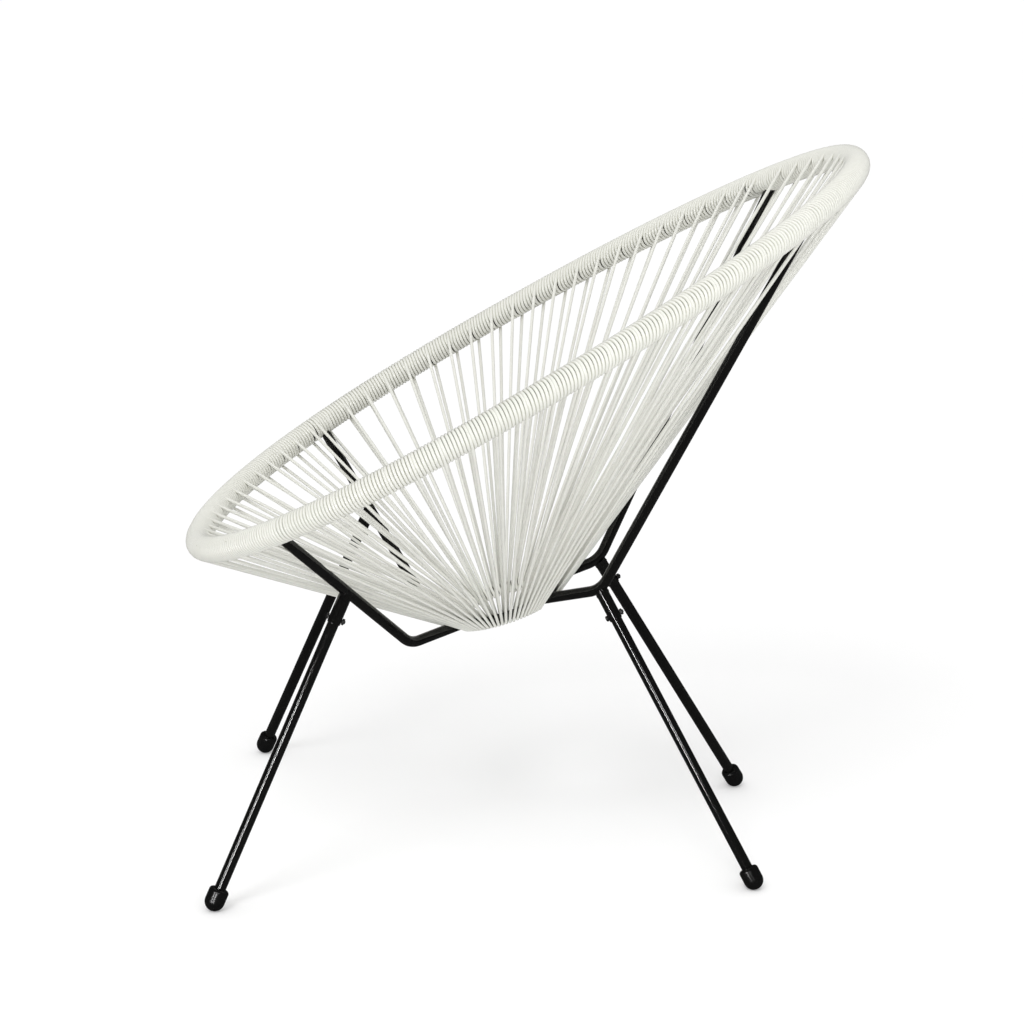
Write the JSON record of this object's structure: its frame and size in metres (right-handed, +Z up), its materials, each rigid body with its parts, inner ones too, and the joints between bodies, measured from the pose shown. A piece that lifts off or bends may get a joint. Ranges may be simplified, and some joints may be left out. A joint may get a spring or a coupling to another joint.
{
  "type": "acapulco chair",
  "caption": "Low patio chair with a bowl of cord strands woven between a leaning egg-shaped hoop and a small ring, on bent bars and splayed legs with rounded feet",
  "frame": {"origin": "on the floor, under the centre of the bounding box", "axes": "+Z is up, the sitter faces -Y, +X is the sitter's left; X = 0 is the middle plane"},
  "size_m": [0.7352, 0.845, 0.9061],
  "materials": {
    "frame": "gloss",
    "fastener": "satin",
    "foot": "satin",
    "cord": "satin"
  },
  "bodies": {
    "root": {"hoop_tube": "frame", "bottom_ring": "frame", "rear_left_bar": "frame", "rear_left_socket": "frame", "rear_left_leg": "frame", "rear_left_cross_bolt": "fastener", "rear_left_nut": "fastener", "rear_left_foot_cap": "foot", "front_left_bar": "frame", "front_left_socket": "frame", "front_left_leg": "frame", "front_left_cross_bolt": "fastener", "front_left_nut": "fastener", "front_left_foot_cap": "foot", "front_right_bar": "frame", "front_right_socket": "frame", "front_right_leg": "frame", "front_right_cross_bolt": "fastener", "front_right_nut": "fastener", "front_right_foot_cap": "foot", "rear_right_bar": "frame", "rear_right_socket": "frame", "rear_right_leg": "frame", "rear_right_cross_bolt": "fastener", "rear_right_nut": "fastener", "rear_right_foot_cap": "foot", "cord_panel_01": "cord", "cord_panel_02": "cord", "cord_panel_03": "cord", "cord_panel_04": "cord", "cord_panel_05": "cord", "cord_panel_06": "cord", "cord_panel_07": "cord", "cord_panel_08": "cord", "cord_panel_09": "cord", "cord_panel_10": "cord", "cord_panel_11": "cord", "cord_panel_12": "cord", "cord_panel_13": "cord", "cord_panel_14": "cord", "cord_panel_15": "cord", "cord_panel_16": "cord", "cord_panel_17": "cord", "cord_panel_18": "cord", "cord_panel_19": "cord", "cord_panel_20": "cord", "cord_panel_21": "cord", "cord_panel_22": "cord", "cord_panel_23": "cord", "cord_panel_24": "cord", "cord_panel_25": "cord", "cord_panel_26": "cord"}
  },
  "joints": []
}
